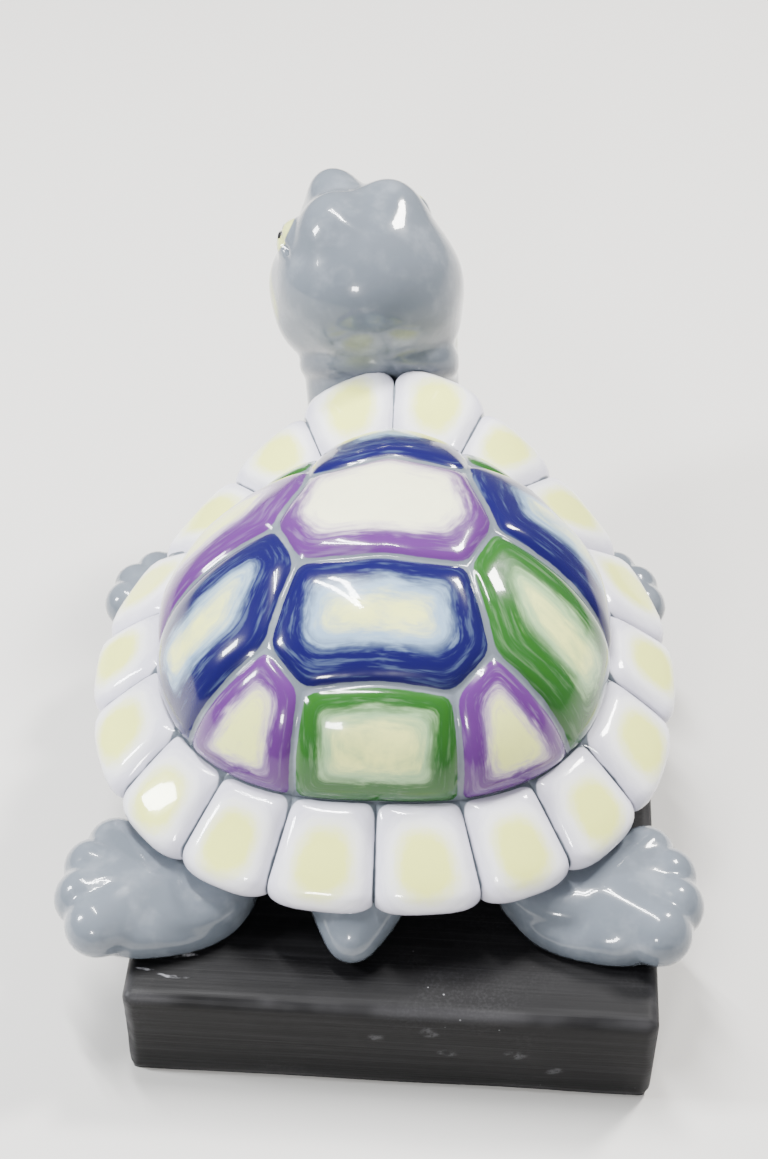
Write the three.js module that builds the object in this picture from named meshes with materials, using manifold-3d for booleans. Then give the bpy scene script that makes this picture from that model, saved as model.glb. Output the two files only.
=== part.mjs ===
// A hand-painted, glazed turtle figurine standing on a black wooden block.
// Millimetres, +Z up, +Y towards the head. The origin is the middle of the block's underside.
import * as THREE from 'three';
import { mergeVertices } from 'three/addons/utils/BufferGeometryUtils.js';
import Module from 'manifold-3d';

const wasm = await Module();
wasm.setup();

// ---------------------------------------------------------------- driving dimensions

const BLOCK = { width: 216, length: 268, thickness: 50, easedEdge: 5 };

// The figurine stands a touch askew on its block, and a hair above it.
const STANCE = { right: -12, forward: 27, gap: 0.3, turnDegrees: 1.8 };

// The shell in plan is two half superellipses that meet at the widest line.
const SHELL = {
  halfWidth: 121,
  front: 138,
  rear: 128.5,
  frontRoundness: 1.62,
  rearRoundness: 2.45,
  top: 122.5,
};
// The casting is a little uneven: the front of the shell rises towards the right.
const LEAN = 8;
// Heights of the rim's outer edge and of the dome's foot above the soles.
const RIM_HEIGHT = { rear: 25, side: 4, frontRise: 57, frontSharpness: 6.6 };
const DOME_FOOT = { rear: 55, side: 51, front: 79, frontSharpness: 2.5 };
// How far the rim tiles reach out from the dome's foot.
const TILE_DEPTH = { side: 25, rear: 29.5, front: 47 };

const TILE = { puff: 3.2, softness: 7, lip: 8.5, seamLip: 6, bulge: 3, frontBulge: 12, bulgeWidth: 12 };
// The shell's underside turns in below the rim and rises a little to its middle.
const UNDERSIDE = { turnIn: 24, drop: 8, rise: 12 };
const SCUTE = { puff: 3, seamHalfWidth: 1.6, softness: 8 };

// Seams between the rim tiles, in degrees from the head, the same on both sides.
const TILE_SEAMS = [0, 19.5, 38, 60.5, 85, 105.5, 127, 144.3, 161, 180];

// ---------------------------------------------------------------- small helpers

const degrees = THREE.MathUtils.degToRad;
const UP = new THREE.Vector3(0, 0, 1);

// Rises from 0 to 1 like a quarter of an ellipse, and stays there.
function roundedRise(t) {
  const left = 1 - THREE.MathUtils.clamp(t, 0, 1);
  return Math.sqrt(1 - left * left);
}

// 1 at the head, 0 at the tail.
const frontness = (angle) => (1 + Math.cos(angle)) / 2;

function geometryFrom(points, triangles) {
  const geometry = new THREE.BufferGeometry();
  geometry.setAttribute('position', new THREE.Float32BufferAttribute(points.flatMap((p) => p.toArray()), 3));
  geometry.setIndex(triangles.flat());
  return geometry;
}

function solidOf(geometry) {
  const bare = geometry.clone();
  bare.deleteAttribute('normal');
  bare.deleteAttribute('uv');
  const merged = mergeVertices(bare, 1e-4);
  return new wasm.Manifold(new wasm.Mesh({
    numProp: 3,
    vertProperties: new Float32Array(merged.attributes.position.array),
    triVerts: new Uint32Array(merged.index.array),
  }));
}

function geometryOf(solid) {
  const mesh = solid.getMesh();
  const geometry = new THREE.BufferGeometry();
  geometry.setAttribute('position', new THREE.BufferAttribute(new Float32Array(mesh.vertProperties), 3));
  geometry.setIndex(new THREE.BufferAttribute(new Uint32Array(mesh.triVerts), 1));
  return geometry;
}

// ---------------------------------------------------------------- the shell's base surface

// The rim in plan. The angle runs from the head towards the right-hand side.
function rimRadius(angle) {
  const across = Math.abs(Math.sin(angle)) / SHELL.halfWidth;
  const isFront = Math.cos(angle) >= 0;
  const along = Math.abs(Math.cos(angle)) / (isFront ? SHELL.front : SHELL.rear);
  const power = isFront ? SHELL.frontRoundness : SHELL.rearRoundness;
  return (across ** power + along ** power) ** (-1 / power);
}

const leanAt = (angle) => LEAN * Math.sin(angle) * frontness(angle) ** 2;

function rimHeight(angle) {
  const lift = RIM_HEIGHT.frontRise * frontness(angle) ** RIM_HEIGHT.frontSharpness;
  return RIM_HEIGHT.rear + lift + RIM_HEIGHT.side * Math.sin(angle) ** 2 + leanAt(angle);
}

function tileDepth(angle) {
  const toFront = (TILE_DEPTH.front - TILE_DEPTH.side) * Math.max(Math.cos(angle), 0) ** 2;
  const toRear = (TILE_DEPTH.rear - TILE_DEPTH.side) * Math.max(-Math.cos(angle), 0) ** 1.5;
  return TILE_DEPTH.side + toFront + toRear;
}

const footRadius = (angle) => rimRadius(angle) - tileDepth(angle);

function footHeight(angle) {
  const front = frontness(angle);
  const toFront = (DOME_FOOT.front - DOME_FOOT.side) * front ** DOME_FOOT.frontSharpness;
  const toRear = (DOME_FOOT.rear - DOME_FOOT.side) * (1 - front) ** 2;
  return DOME_FOOT.side + toFront + toRear;
}

// The dome is charted by an azimuthal map: (across, along) with length 0 at the crown
// and 1 at the foot, so its steep flanks are not squeezed.
function domeBase(across, along) {
  const angle = Math.atan2(across, along);
  const opening = Math.min(Math.hypot(across, along), 1) * Math.PI / 2;
  const radius = footRadius(angle) * Math.sin(opening);
  const level = footHeight(angle) + (SHELL.top - footHeight(angle)) * Math.cos(opening);
  const height = level + leanAt(angle) * Math.sin(opening);
  return new THREE.Vector3(radius * Math.sin(angle), radius * Math.cos(angle), height);
}

function domePoint(across, along, lift) {
  const step = 0.02;
  const reach = Math.min(1, (1 - step) / Math.max(Math.hypot(across, along), 1e-6));
  const [u, v] = [across * reach, along * reach];
  const acrossStep = domeBase(u + step, v).sub(domeBase(u - step, v));
  const alongStep = domeBase(u, v + step).sub(domeBase(u, v - step));
  const normal = acrossStep.cross(alongStep).normalize();
  return domeBase(across, along).addScaledVector(normal, lift);
}

// From a place in plan to the dome's chart.
function chartOf(x, y) {
  const angle = Math.atan2(x, y);
  const outward = Math.min(Math.hypot(x, y) / footRadius(angle), 1);
  const length = Math.asin(outward) / (Math.PI / 2);
  return [length * Math.sin(angle), length * Math.cos(angle)];
}

// ---------------------------------------------------------------- scutes of the dome

// Corners of the scutes in plan, for the right-hand side: (across, along).
const CORNERS = {
  firstSecond: [33.5, 36],
  firstCostal: [34.5, 46],
  secondCostal: [45.5, -2],
  secondThird: [34.5, -25],
  thirdCostal: [45, -60],
  thirdFourth: [30, -77],
};
// Where seams meet the dome's foot, as angles from the head.
const FOOT_CORNERS = { neck: 17, shoulder: 56, flank: 102, hip: 132, tail: 161 };

// Each scute is the ring of corners around it, on the right-hand side; the four along
// the spine are completed by their mirrored corners.
const SPINE_SCUTES = [
  ['neck', 'firstCostal', 'firstSecond'],
  ['firstSecond', 'secondCostal', 'secondThird'],
  ['secondThird', 'thirdCostal', 'thirdFourth'],
  ['thirdFourth', 'tail'],
];
const COSTAL_SCUTES = [
  ['neck', 'shoulder', 'firstCostal'],
  ['firstCostal', 'shoulder', 'flank', 'secondCostal', 'firstSecond'],
  ['secondCostal', 'flank', 'hip', 'thirdCostal', 'secondThird'],
  ['thirdCostal', 'hip', 'tail', 'thirdFourth'],
];

// Columns of points across one rim tile, closer together at its seams.
const TILE_COLUMNS = [0, 0.1, 0.3, 0.5, 0.7, 0.9];
// Rows of points from the dome's foot out over a tile, then round its lip in degrees.
const TILE_ROWS = [0.1, 0.3, 0.65, 1];
const LIP_TURNS = [40, 80, 120, 160];
const SCUTE_RINGS = [0.1, 0.24, 0.55];
const SEAM_STEP = 11;

function ringAngles() {
  const seams = TILE_SEAMS.map(degrees);
  const wholeRound = [...seams, ...seams.slice(1, -1).reverse().map((a) => 2 * Math.PI - a), 2 * Math.PI];
  const angles = [];
  for (let tile = 0; tile < wholeRound.length - 1; tile += 1) {
    const [from, width] = [wholeRound[tile], wholeRound[tile + 1] - wholeRound[tile]];
    const isFront = tile === 0 || tile === wholeRound.length - 2;
    const bulge = isFront ? TILE.frontBulge : TILE.bulge;
    TILE_COLUMNS.forEach((share) => angles.push({ angle: from + width * share, share, width, bulge }));
  }
  return angles;
}

function buildShell() {
  const points = [];
  const triangles = [];
  const addPoint = (point) => points.push(point) - 1;
  const addQuad = (a, b, c, d) => triangles.push([a, b, c], [a, c, d]);

  const ring = ringAngles();
  const footLoop = ring.map(({ angle }) => addPoint(domePoint(Math.sin(angle), Math.cos(angle), 0)));
  const onFoot = (cornerDegrees, side) => {
    const wanted = side > 0 ? degrees(cornerDegrees) : 2 * Math.PI - degrees(cornerDegrees);
    const gaps = ring.map(({ angle }) => Math.abs(angle - wanted));
    return gaps.indexOf(Math.min(...gaps));
  };

  // A corner's place on the chart, and its point, made once and shared.
  const corners = new Map();
  const corner = (name, side) => {
    const key = `${name}${side}`;
    if (!corners.has(key)) {
      if (name in FOOT_CORNERS) {
        const column = onFoot(FOOT_CORNERS[name], side);
        const { angle } = ring[column];
        corners.set(key, { key, column, chart: [Math.sin(angle), Math.cos(angle)], id: footLoop[column] });
      } else {
        const [x, y] = CORNERS[name];
        const chart = chartOf(x * side, y);
        corners.set(key, { key, chart, id: addPoint(domePoint(...chart, 0)) });
      }
    }
    return corners.get(key);
  };

  const seams = new Map();
  const seam = (from, to) => {
    const key = `${from.key}>${to.key}`;
    const reverseKey = `${to.key}>${from.key}`;
    if (seams.has(reverseKey)) return [...seams.get(reverseKey)].reverse();
    if (!seams.has(key)) {
      const length = points[from.id].distanceTo(points[to.id]);
      const pieces = Math.max(2, Math.round(length / SEAM_STEP));
      const places = [from];
      for (let i = 1; i < pieces; i += 1) {
        const chart = from.chart.map((value, axis) => value + (to.chart[axis] - value) * i / pieces);
        places.push({ chart, id: addPoint(domePoint(...chart, 0)) });
      }
      seams.set(key, [...places, to]);
    }
    return seams.get(key);
  };
  const alongFoot = (from, to) => {
    const count = ring.length;
    const forward = (to.column - from.column + count) % count;
    const direction = forward <= count / 2 ? 1 : -1;
    const places = [];
    for (let i = from.column; i !== to.column; i = (i + direction + count) % count) {
      const { angle } = ring[i];
      places.push({ chart: [Math.sin(angle), Math.cos(angle)], id: footLoop[i] });
    }
    return [...places, to];
  };

  // A pillow: rings of points drawn in from the seams towards the middle.
  const pillow = (outline) => {
    const loop = outline.flatMap((from, i) => {
      const to = outline[(i + 1) % outline.length];
      const bothOnFoot = from.column !== undefined && to.column !== undefined;
      return (bothOnFoot ? alongFoot(from, to) : seam(from, to)).slice(0, -1);
    });
    const total = (axis) => loop.reduce((sum, place) => sum + place.chart[axis], 0);
    const middle = [total(0) / loop.length, total(1) / loop.length];
    const middlePoint = domePoint(...middle, SCUTE.puff);
    let outer = loop.map((place) => place.id);
    for (const share of SCUTE_RINGS) {
      const inner = loop.map((place) => {
        const chart = place.chart.map((value, axis) => value + (middle[axis] - value) * share);
        const inset = points[place.id].distanceTo(middlePoint) * share;
        const lift = SCUTE.puff * roundedRise((inset - SCUTE.seamHalfWidth) / SCUTE.softness);
        return addPoint(domePoint(...chart, lift));
      });
      outer.forEach((id, i) => {
        const next = (i + 1) % outer.length;
        addQuad(id, outer[next], inner[next], inner[i]);
      });
      outer = inner;
    }
    const tip = addPoint(middlePoint);
    outer.forEach((id, i) => triangles.push([id, outer[(i + 1) % outer.length], tip]));
  };

  // Outlines run anticlockwise seen from above, so the faces look outwards.
  for (const names of SPINE_SCUTES) {
    const right = names.map((name) => corner(name, 1));
    const left = names.map((name) => corner(name, -1));
    pillow([...right.reverse(), ...left]);
  }
  for (const names of COSTAL_SCUTES) {
    pillow(names.map((name) => corner(name, 1)).reverse());
    pillow(names.map((name) => corner(name, -1)));
  }

  // The rim: each column of points runs out over a tile, round its lip and under it.
  const columns = ring.map((place, i) => [footLoop[i], ...rimColumn(place).map(addPoint)]);
  columns.forEach((column, i) => {
    const next = columns[(i + 1) % columns.length];
    for (let row = 0; row < column.length - 1; row += 1) {
      addQuad(column[row], next[row], next[row + 1], column[row + 1]);
    }
  });
  const underMiddle = addPoint(new THREE.Vector3(0, 0, RIM_HEIGHT.rear + UNDERSIDE.rise));
  columns.forEach((column, i) => {
    const next = columns[(i + 1) % columns.length];
    triangles.push([column.at(-1), next.at(-1), underMiddle]);
  });
  return geometryFrom(points, triangles);
}

// Points of one column of the rim after the dome's foot, from the top out and under.
function rimColumn({ angle, share, width, bulge }) {
  const outward = new THREE.Vector3(Math.sin(angle), Math.cos(angle), 0);
  const radius = rimRadius(angle);
  const toSeam = Math.min(share, 1 - share) * width * radius;
  const sideRise = roundedRise(toSeam / TILE.softness);
  const reach = radius + bulge * roundedRise(toSeam / TILE.bulgeWidth);
  const lip = TILE.seamLip + (TILE.lip - TILE.seamLip) * sideRise;

  const foot = domeBase(Math.sin(angle), Math.cos(angle));
  const edge = outward.clone().multiplyScalar(reach).setZ(rimHeight(angle));
  const slope = edge.clone().sub(foot).normalize();
  const normal = outward.clone().multiplyScalar(-slope.z).setZ(slope.dot(outward));
  const lipMiddle = edge.clone().addScaledVector(slope, -lip);
  const topEnd = lipMiddle.clone().addScaledVector(normal, lip);
  const length = foot.distanceTo(topEnd);

  const top = TILE_ROWS.map((t) => {
    const rise = TILE.puff * sideRise * roundedRise(t * length / TILE.softness);
    return foot.clone().lerp(topEnd, t).addScaledVector(normal, rise * (1 - t * t));
  });
  const round = LIP_TURNS.map((turn) => lipMiddle.clone()
    .addScaledVector(normal, lip * Math.cos(degrees(turn)))
    .addScaledVector(slope, lip * Math.sin(degrees(turn))));
  const under = round.at(-1).clone().addScaledVector(outward, -UNDERSIDE.turnIn);
  under.z = Math.max(under.z, RIM_HEIGHT.rear - UNDERSIDE.drop);
  return [...top, ...round, under];
}

// ---------------------------------------------------------------- the skin: head, legs, tail, belly

const smoothMin = (a, b, blend) => {
  const near = Math.max(blend - Math.abs(a - b), 0) / blend;
  return Math.min(a, b) - near * near * blend / 4;
};

const egg = (x, y, z, rx, ry, rz, turn = 0) => ({
  centre: new THREE.Vector3(x, y, z),
  radii: new THREE.Vector3(rx, ry, rz),
  turn: degrees(turn),
});

// Below zero inside an egg, above zero outside, and near enough a distance.
function outsideEgg({ centre, radii, turn }, point) {
  const local = point.clone().sub(centre).applyAxisAngle(UP, -turn);
  const scaled = local.clone().divide(radii);
  const slope = scaled.clone().divide(radii).length();
  return scaled.length() * (scaled.length() - 1) / Math.max(slope, 1e-6);
}

// How a ray looks for the skin: how far it may go, its stride, and how often it halves.
const SEARCH = { farthest: 120, stride: 3, halvings: 12 };

// A sphere pushed out along its own rays until it meets the blended eggs.
function blendOfEggs(middle, eggs, { blend = 8, around = 20, along = 12, floor = -Infinity } = {}) {
  const outside = (point) => eggs
    .map((one) => outsideEgg(one, point))
    .reduce((nearest, value) => smoothMin(nearest, value, blend));
  const geometry = new THREE.SphereGeometry(1, around, along).rotateX(Math.PI / 2);
  const place = geometry.attributes.position;
  for (let i = 0; i < place.count; i += 1) {
    const ray = new THREE.Vector3().fromBufferAttribute(place, i).normalize();
    const at = (distance) => middle.clone().addScaledVector(ray, distance);
    let near = 0;
    while (near < SEARCH.farthest && outside(at(near + SEARCH.stride)) < 0) near += SEARCH.stride;
    let far = near + SEARCH.stride;
    for (let halving = 0; halving < SEARCH.halvings; halving += 1) {
      const half = (near + far) / 2;
      if (outside(at(half)) < 0) near = half;
      else far = half;
    }
    const point = at(near);
    place.setXYZ(i, point.x, point.y, Math.max(point.z, floor));
  }
  return geometry;
}

const PAD = { height: 11, halfLength: 36, halfWidth: 26, halfDepth: 21, turn: 10 };
// Toes are fanned from the front one to the back one, which is a little fatter and lower.
const TOES = {
  count: 4,
  step: 29,
  reach: 31,
  radius: 10,
  fatter: 0.7,
  height: 1.5,
  lower: 0.15,
  taller: 1.15,
};

// A foot: a low pad with stubby toes fanned round its outer end, under a thigh.
function footEggs({ x, y, firstToe, size, thigh }) {
  const side = Math.sign(x);
  const toes = Array.from({ length: TOES.count }, (_, k) => {
    const angle = degrees(firstToe - TOES.step * k);
    const radius = (TOES.radius + TOES.fatter * k) * size;
    const toeX = x + side * TOES.reach * size * Math.cos(angle);
    const toeY = y + TOES.reach * size * Math.sin(angle);
    const toeZ = radius * (TOES.height - TOES.lower * k);
    return egg(toeX, toeY, toeZ, radius, radius, radius * TOES.taller);
  });
  const padRadii = [PAD.halfLength, PAD.halfWidth, PAD.halfDepth].map((radius) => radius * size);
  const pad = egg(x, y, PAD.height * size, ...padRadii, side * -PAD.turn);
  return [pad, ...toes, thigh];
}

const FEET = [
  { x: 92, y: -109, firstToe: 45, size: 1, thigh: egg(80, -84, 16, 30, 32, 20) },
  { x: -89, y: -112, firstToe: 45, size: 1, thigh: egg(-80, -84, 16, 30, 34, 20) },
  { x: 93, y: 71, firstToe: 84, size: 0.86, thigh: egg(76, 64, 24, 30, 28, 26) },
  { x: -97, y: 66, firstToe: 84, size: 0.86, thigh: egg(-76, 60, 24, 30, 28, 26) },
];

// The face looks up and to the left of straight ahead.
const HEAD = new THREE.Vector3(-14, 176.5, 123);
const SKULL = { halfWidth: 41, halfLength: 40, halfHeight: 37 };
const NAPE = { back: 3, down: 16, halfWidth: 44, halfLength: 36, halfHeight: 25 };
const FACE = { turn: 27, rise: 25 };
const SNOUT = { forward: 30, up: 3, halfWidth: 16, halfLength: 22, halfHeight: 17 };
const BROW = { forward: 16, right: 20, up: 20, radius: 13.5 };
const EYE = { forward: 19, right: 28, up: 3, radius: 12.5 };

// Swept pieces: the places they pass through, and their half width and depth at each end.
const NECK = {
  path: [[0, 60, 38], [-3, 114, 37], [-8, 155, 52], [-12, 173, 84], [-15, 177, 126]],
  halfWidth: [36, 44],
  halfDepth: [29, 37],
};
const TAIL = {
  path: [[-2, -86, 22], [-5, -118, 16], [-7, -136, 9]],
  halfWidth: [29, 9],
  halfDepth: [18, 9],
};
// Below 1 the ends of a swept piece are blunter than an egg's.
const END_FULLNESS = 0.55;

const BELLY = { y: -4, z: 37, halfWidth: 98, halfLength: 105, halfDepth: 30 };

// An egg placed from the middle of the head: forward along the face, to its right, and up.
function faceEgg(forward, right, up, rx, ry, rz) {
  const place = new THREE.Vector3(right, forward, up)
    .applyAxisAngle(new THREE.Vector3(1, 0, 0), degrees(FACE.rise))
    .applyAxisAngle(UP, degrees(FACE.turn))
    .add(HEAD);
  return egg(place.x, place.y, place.z, rx, ry, rz, FACE.turn);
}

function headEggs() {
  const skull = egg(HEAD.x, HEAD.y, HEAD.z, SKULL.halfWidth, SKULL.halfLength, SKULL.halfHeight);
  const nape = egg(
    HEAD.x,
    HEAD.y - NAPE.back,
    HEAD.z - NAPE.down,
    NAPE.halfWidth,
    NAPE.halfLength,
    NAPE.halfHeight,
  );
  const snout = faceEgg(SNOUT.forward, 0, SNOUT.up, SNOUT.halfWidth, SNOUT.halfLength, SNOUT.halfHeight);
  const pairs = [BROW, EYE].flatMap(({ forward, right, up, radius }) => [
    faceEgg(forward, right, up, radius, radius, radius),
    faceEgg(forward, -right, up, radius, radius, radius),
  ]);
  return [skull, nape, snout, ...pairs];
}

function buildSkin() {
  const feet = FEET.map((foot) => blendOfEggs(
    new THREE.Vector3(foot.x * 1.06, foot.y, PAD.height),
    footEggs(foot),
    { blend: 4, around: 30, along: 12, floor: 0 },
  ));
  const head = blendOfEggs(HEAD, headEggs(), { blend: 10, around: 28, along: 18 });
  const bellyMiddle = new THREE.Vector3(0, BELLY.y, BELLY.z);
  const bellyEgg = egg(0, BELLY.y, BELLY.z, BELLY.halfWidth, BELLY.halfLength, BELLY.halfDepth);
  const belly = blendOfEggs(bellyMiddle, [bellyEgg], { around: 28, along: 12 });
  return [...feet, head, sweptEgg(NECK, 22, 14), sweptEgg(TAIL, 14, 8), belly];
}

// A sphere drawn out along a curve, with its own half width and half depth all the way.
function sweptEgg({ path, halfWidth, halfDepth }, around, along) {
  const curve = new THREE.CatmullRomCurve3(path.map((place) => new THREE.Vector3(...place)));
  const geometry = new THREE.SphereGeometry(1, around, along).rotateX(-Math.PI / 2);
  const place = geometry.attributes.position;
  for (let i = 0; i < place.count; i += 1) {
    const point = new THREE.Vector3().fromBufferAttribute(place, i);
    const share = (1 - point.z) / 2;
    const flat = Math.hypot(point.x, point.y);
    const forward = curve.getTangent(share);
    const right = forward.clone().cross(UP).normalize();
    const above = right.clone().cross(forward);
    const fullness = flat > 1e-6 ? flat ** END_FULLNESS / flat : 0;
    const moved = curve.getPoint(share)
      .addScaledVector(right, point.x * fullness * THREE.MathUtils.lerp(...halfWidth, share))
      .addScaledVector(above, point.y * fullness * THREE.MathUtils.lerp(...halfDepth, share));
    place.setXYZ(i, moved.x, moved.y, moved.z);
  }
  return geometry;
}

// ---------------------------------------------------------------- pieces

function buildTurtle() {
  const whole = buildSkin().reduce((joined, piece) => joined.add(solidOf(piece)), solidOf(buildShell()));
  const glaze = new THREE.MeshStandardMaterial({ color: 0x8c949f, roughness: 0.12, metalness: 0 });
  const turtle = new THREE.Mesh(geometryOf(whole), glaze);
  turtle.name = 'turtle';
  turtle.position.set(STANCE.right, STANCE.forward, BLOCK.thickness + STANCE.gap);
  turtle.rotation.z = degrees(STANCE.turnDegrees);
  return turtle;
}

function buildBlock() {
  const { width, length, thickness, easedEdge } = BLOCK;
  const corner = easedEdge;
  const outline = new THREE.Shape();
  const [halfWidth, halfLength] = [width / 2 - easedEdge, length / 2 - easedEdge];
  outline.moveTo(halfWidth, halfLength - corner);
  outline.absarc(halfWidth - corner, halfLength - corner, corner, 0, Math.PI / 2);
  outline.absarc(corner - halfWidth, halfLength - corner, corner, Math.PI / 2, Math.PI);
  outline.absarc(corner - halfWidth, corner - halfLength, corner, Math.PI, 1.5 * Math.PI);
  outline.absarc(halfWidth - corner, corner - halfLength, corner, 1.5 * Math.PI, 2 * Math.PI);
  const geometry = new THREE.ExtrudeGeometry(outline, {
    depth: thickness - 2 * easedEdge,
    bevelThickness: easedEdge,
    bevelSize: easedEdge,
    bevelSegments: 4,
    curveSegments: 3,
  });
  geometry.translate(0, 0, easedEdge);
  const stain = new THREE.MeshStandardMaterial({ color: 0x2d2c2e, roughness: 0.55, metalness: 0 });
  const block = new THREE.Mesh(geometry, stain);
  block.name = 'wooden_block';
  return block;
}

const group = new THREE.Group();
group.add(buildTurtle(), buildBlock());
export default group;
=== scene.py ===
"""A hand-painted, glazed turtle figurine on a black wooden block.

The figurine is modelled in millimetres in its own frame: soles at 0, +Y towards the head,
+Z up. It is then stood on the block, where its CAD solid is.
"""
import math

import bpy
import numpy as np
import openvdb
from mathutils import Matrix, Vector
from mathutils.kdtree import KDTree


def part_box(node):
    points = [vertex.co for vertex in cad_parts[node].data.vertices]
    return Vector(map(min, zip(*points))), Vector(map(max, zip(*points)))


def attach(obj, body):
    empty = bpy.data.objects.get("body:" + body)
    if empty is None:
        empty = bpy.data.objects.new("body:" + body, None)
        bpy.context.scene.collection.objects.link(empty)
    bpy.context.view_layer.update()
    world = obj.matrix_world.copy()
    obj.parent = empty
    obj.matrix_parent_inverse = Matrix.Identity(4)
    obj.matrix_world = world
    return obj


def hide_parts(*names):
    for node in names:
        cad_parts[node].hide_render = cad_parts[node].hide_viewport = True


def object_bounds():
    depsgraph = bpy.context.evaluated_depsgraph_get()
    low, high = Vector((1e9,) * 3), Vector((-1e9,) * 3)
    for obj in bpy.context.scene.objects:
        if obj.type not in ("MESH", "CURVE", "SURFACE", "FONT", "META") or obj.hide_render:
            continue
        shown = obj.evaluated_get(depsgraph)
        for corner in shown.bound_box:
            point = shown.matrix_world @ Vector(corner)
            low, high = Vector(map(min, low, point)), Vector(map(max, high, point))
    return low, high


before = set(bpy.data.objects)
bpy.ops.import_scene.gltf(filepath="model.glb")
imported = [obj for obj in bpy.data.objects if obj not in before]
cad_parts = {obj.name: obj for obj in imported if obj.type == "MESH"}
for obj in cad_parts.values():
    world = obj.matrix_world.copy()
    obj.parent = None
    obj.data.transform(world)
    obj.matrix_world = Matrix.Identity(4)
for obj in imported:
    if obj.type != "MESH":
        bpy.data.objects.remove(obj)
cad_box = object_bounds()

MM = 0.001

# ---------------- driving dimensions, mm

STANCE = {"right": -12, "forward": 27, "turn": math.radians(1.8)}

SHELL = {
    "half_width": 121,
    "front": 138,
    "rear": 128.5,
    "front_roundness": 1.62,
    "rear_roundness": 2.45,
    "top": 122.5,
}
LEAN = 8
RIM_HEIGHT = {"rear": 25, "side": 4, "front_rise": 57, "front_sharpness": 6.6}
DOME_FOOT = {"rear": 55, "side": 51, "front": 79, "front_sharpness": 2.5}
TILE_DEPTH = {"side": 25, "rear": 29.5, "front": 47}
TILE = {
    "puff": 4,
    "softness": 9,
    "lip": 8.5,
    "seam_lip": 6.2,
    "bulge": 6.5,
    "drawn_in": 2.5,
    "front_bulge": 12,
    "bulge_width": 13,
    "corner": 7,
    "painted_over": 0.8,
    "boldness": 0.45,
}
SCUTE = {"puff": 3.1, "seam_half_width": 1.2, "softness": 9, "corner": 4, "sunk": 0.064}
UNDERSIDE = {"turn_in": 24, "drop": 8, "rise": 12}
TILE_SEAMS = np.radians([0, 19.5, 38, 60.5, 85, 105.5, 127, 144.3, 161, 180])

# Corners of the scutes in plan, for the right-hand side: (across, along).
CORNERS = {
    "first_second": (33.5, 36),
    "first_costal": (34.5, 46),
    "second_costal": (45.5, -2),
    "second_third": (34.5, -25),
    "third_costal": (45, -60),
    "third_fourth": (30, -77),
}
FOOT_CORNERS = {"neck": 17, "shoulder": 56, "flank": 102, "hip": 132, "tail": 161}

SPINE_SCUTES = [
    ["neck", "first_costal", "first_second"],
    ["first_second", "second_costal", "second_third"],
    ["second_third", "third_costal", "third_fourth"],
    ["third_fourth", "tail"],
]
COSTAL_SCUTES = [
    ["neck", "shoulder", "first_costal"],
    ["first_costal", "shoulder", "flank", "second_costal", "first_second"],
    ["second_costal", "flank", "hip", "third_costal", "second_third"],
    ["third_costal", "hip", "tail", "third_fourth"],
]

# ---------------- paints

GREY = (0.132, 0.152, 0.18)
PALE_GREY = (0.36, 0.39, 0.43)
OLIVE = (0.30, 0.33, 0.09)
PALE_OLIVE = (0.47, 0.50, 0.20)
EYE_YELLOW = (0.60, 0.63, 0.24)
PUPIL_BLACK = (0.008, 0.008, 0.010)
STREAK = (0.02, 0.03, 0.06)
WHITE = (0.82, 0.82, 0.83)
LAVENDER = (0.64, 0.625, 0.72)
PALE_YELLOW = (0.79, 0.83, 0.22)
CREAM = (0.88, 0.88, 0.60)

DEEP_BLUE = (0.004, 0.002, 0.062)
PURPLE = (0.088, 0.019, 0.145)
GREEN = (0.016, 0.09, 0.009)
SKY_BLUE = (0.24, 0.36, 0.50)
LILAC = (0.44, 0.33, 0.52)
LEAF = (0.30, 0.47, 0.24)
LIME = (0.80, 0.85, 0.28)

BLUES = (DEEP_BLUE, SKY_BLUE, LIME)
PURPLES = (PURPLE, LILAC, LIME)
GREENS = (GREEN, LEAF, LIME)

# A paint has the colour at the seams, the tint further in and the heart. The edge colour
# lies outside the share `edge` of the way from the middle to the seams, and the heart
# inside the share `heart`. The pull makes the edge colour wider to the right or in front.
PAINTS = {
    "tile": {"colours": (LAVENDER, WHITE, PALE_YELLOW), "edge": 0.9, "heart": 0.6, "pull": (0, 0)},
    "neck_blue": {"colours": BLUES, "edge": 0.32, "heart": 0.02, "pull": (0, -0.35)},
    "crown_cream": {"colours": (PURPLE, LILAC, CREAM), "edge": 0.76, "heart": 0.6, "pull": (0.06, -0.2)},
    "middle_blue": {"colours": BLUES, "edge": 0.52, "heart": 0.15, "pull": (0, -0.13)},
    "tail_green": {"colours": GREENS, "edge": 0.42, "heart": 0.1, "pull": (0, -0.24)},
    "shoulder_green": {"colours": GREENS, "edge": 0.58, "heart": 0.2, "pull": (0, 0)},
    "right_blue": {"colours": BLUES, "edge": 0.34, "heart": 0.02, "pull": (0, 0.08)},
    "left_purple": {"colours": PURPLES, "edge": 0.5, "heart": 0.25, "pull": (0, 0)},
    "right_green": {"colours": GREENS, "edge": 0.4, "heart": 0.1, "pull": (0.05, -0.14)},
    "left_blue": {"colours": BLUES, "edge": 0.4, "heart": 0.12, "pull": (-0.06, -0.04)},
    "hip_purple": {"colours": PURPLES, "edge": 0.44, "heart": 0.24, "pull": (0, -0.1)},
}
SPINE_PAINTS = ["neck_blue", "crown_cream", "middle_blue", "tail_green"]
RIGHT_PAINTS = ["shoulder_green", "right_blue", "right_green", "hip_purple"]
LEFT_PAINTS = ["shoulder_green", "left_purple", "left_blue", "hip_purple"]


# ---------------- small helpers


def rounded_rise(t):
    """Rises from 0 to 1 like a quarter of an ellipse, and stays there."""
    left = 1 - np.clip(t, 0, 1)
    return np.sqrt(1 - left * left)


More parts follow.
